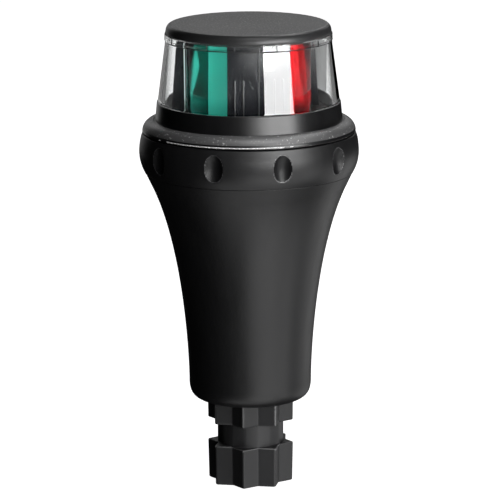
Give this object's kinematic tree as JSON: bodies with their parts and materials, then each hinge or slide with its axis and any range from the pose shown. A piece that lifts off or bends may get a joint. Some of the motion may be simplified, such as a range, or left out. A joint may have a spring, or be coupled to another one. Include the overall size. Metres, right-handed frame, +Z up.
{
  "type": "navigation light",
  "caption": "Battery-powered bicolour port and starboard navigation light with a twist ring and a star spline mounting plug.",
  "frame": {"origin": "centre of the mounting spline's flat foot, where the light stands when it is set down", "axes": "+Z up along the light's axis, -Y dead ahead, +X to port (the red side)"},
  "size_m": [0.08, 0.08, 0.17],
  "materials": {
    "black_plastic": "satin black UV-stable nylon with fine moulded grain",
    "cap_plastic": "matt black textured plastic with polished shoulder",
    "inner_plastic": "plain dark grey moulded plastic",
    "screen_plastic": "semi-gloss black plastic",
    "seal_rubber": "matt black seal rubber",
    "steel": "stainless steel",
    "magnet": "nickel-plated magnet",
    "cell_sleeve": "plain printed sleeve with no marking",
    "contact_brass": "gold-plated contact",
    "circuit_board": "green solder mask",
    "component_plastic": "black component bodies",
    "reed_glass": "clear glass tube",
    "wire_insulation": "red insulation",
    "led_board_white": "white solder mask",
    "led_red": "red LED",
    "led_green": "green LED",
    "reflector": "bright metallised plastic",
    "filter_red": "transparent red plastic",
    "filter_green": "transparent green plastic",
    "clear_lens": "clear polished plastic"
  },
  "bodies": {
    "housing": {"body_shell": "black_plastic", "mounting_spline": "black_plastic", "spline_seal": "seal_rubber", "spline_washer": "steel", "spline_screw": "steel", "battery_carrier": "inner_plastic", "battery_cell_1": "cell_sleeve", "battery_cell_2": "cell_sleeve", "battery_cell_3": "cell_sleeve", "cell_contacts": "steel", "cell_springs": "steel", "carrier_contacts": "contact_brass"},
    "head": {"lens_holder": "black_plastic", "head_base": "inner_plastic", "main_seal": "seal_rubber", "holder_screws": "steel", "driver_board": "circuit_board", "board_components": "component_plastic", "reed_switch": "reed_glass", "contact_springs": "contact_brass", "board_screws": "steel", "led_wires": "wire_insulation", "led_board_port": "led_board_white", "led_board_starboard": "led_board_white", "led_port": "led_red", "led_starboard": "led_green", "reflector_core": "reflector", "front_screen": "screen_plastic", "rear_screen": "screen_plastic", "filter_port": "filter_red", "filter_starboard": "filter_green", "optic_screws": "steel", "lens_cover": "clear_lens", "lens_seal": "seal_rubber", "top_cap": "cap_plastic", "cap_seal": "seal_rubber"},
    "grip_ring": {"grip_ring": "black_plastic", "ring_magnet": "magnet"}
  },
  "joints": [
    {"name": "head_lift", "type": "slide", "parent": "housing", "child": "head", "axis": [0, 0, 1], "range_m": [0, 0.06]},
    {"name": "ring_twist", "type": "hinge", "parent": "head", "child": "grip_ring", "pos_m": [0, 0, 0.124], "axis": [0, 0, 1], "range_deg": [0, 60]}
  ]
}
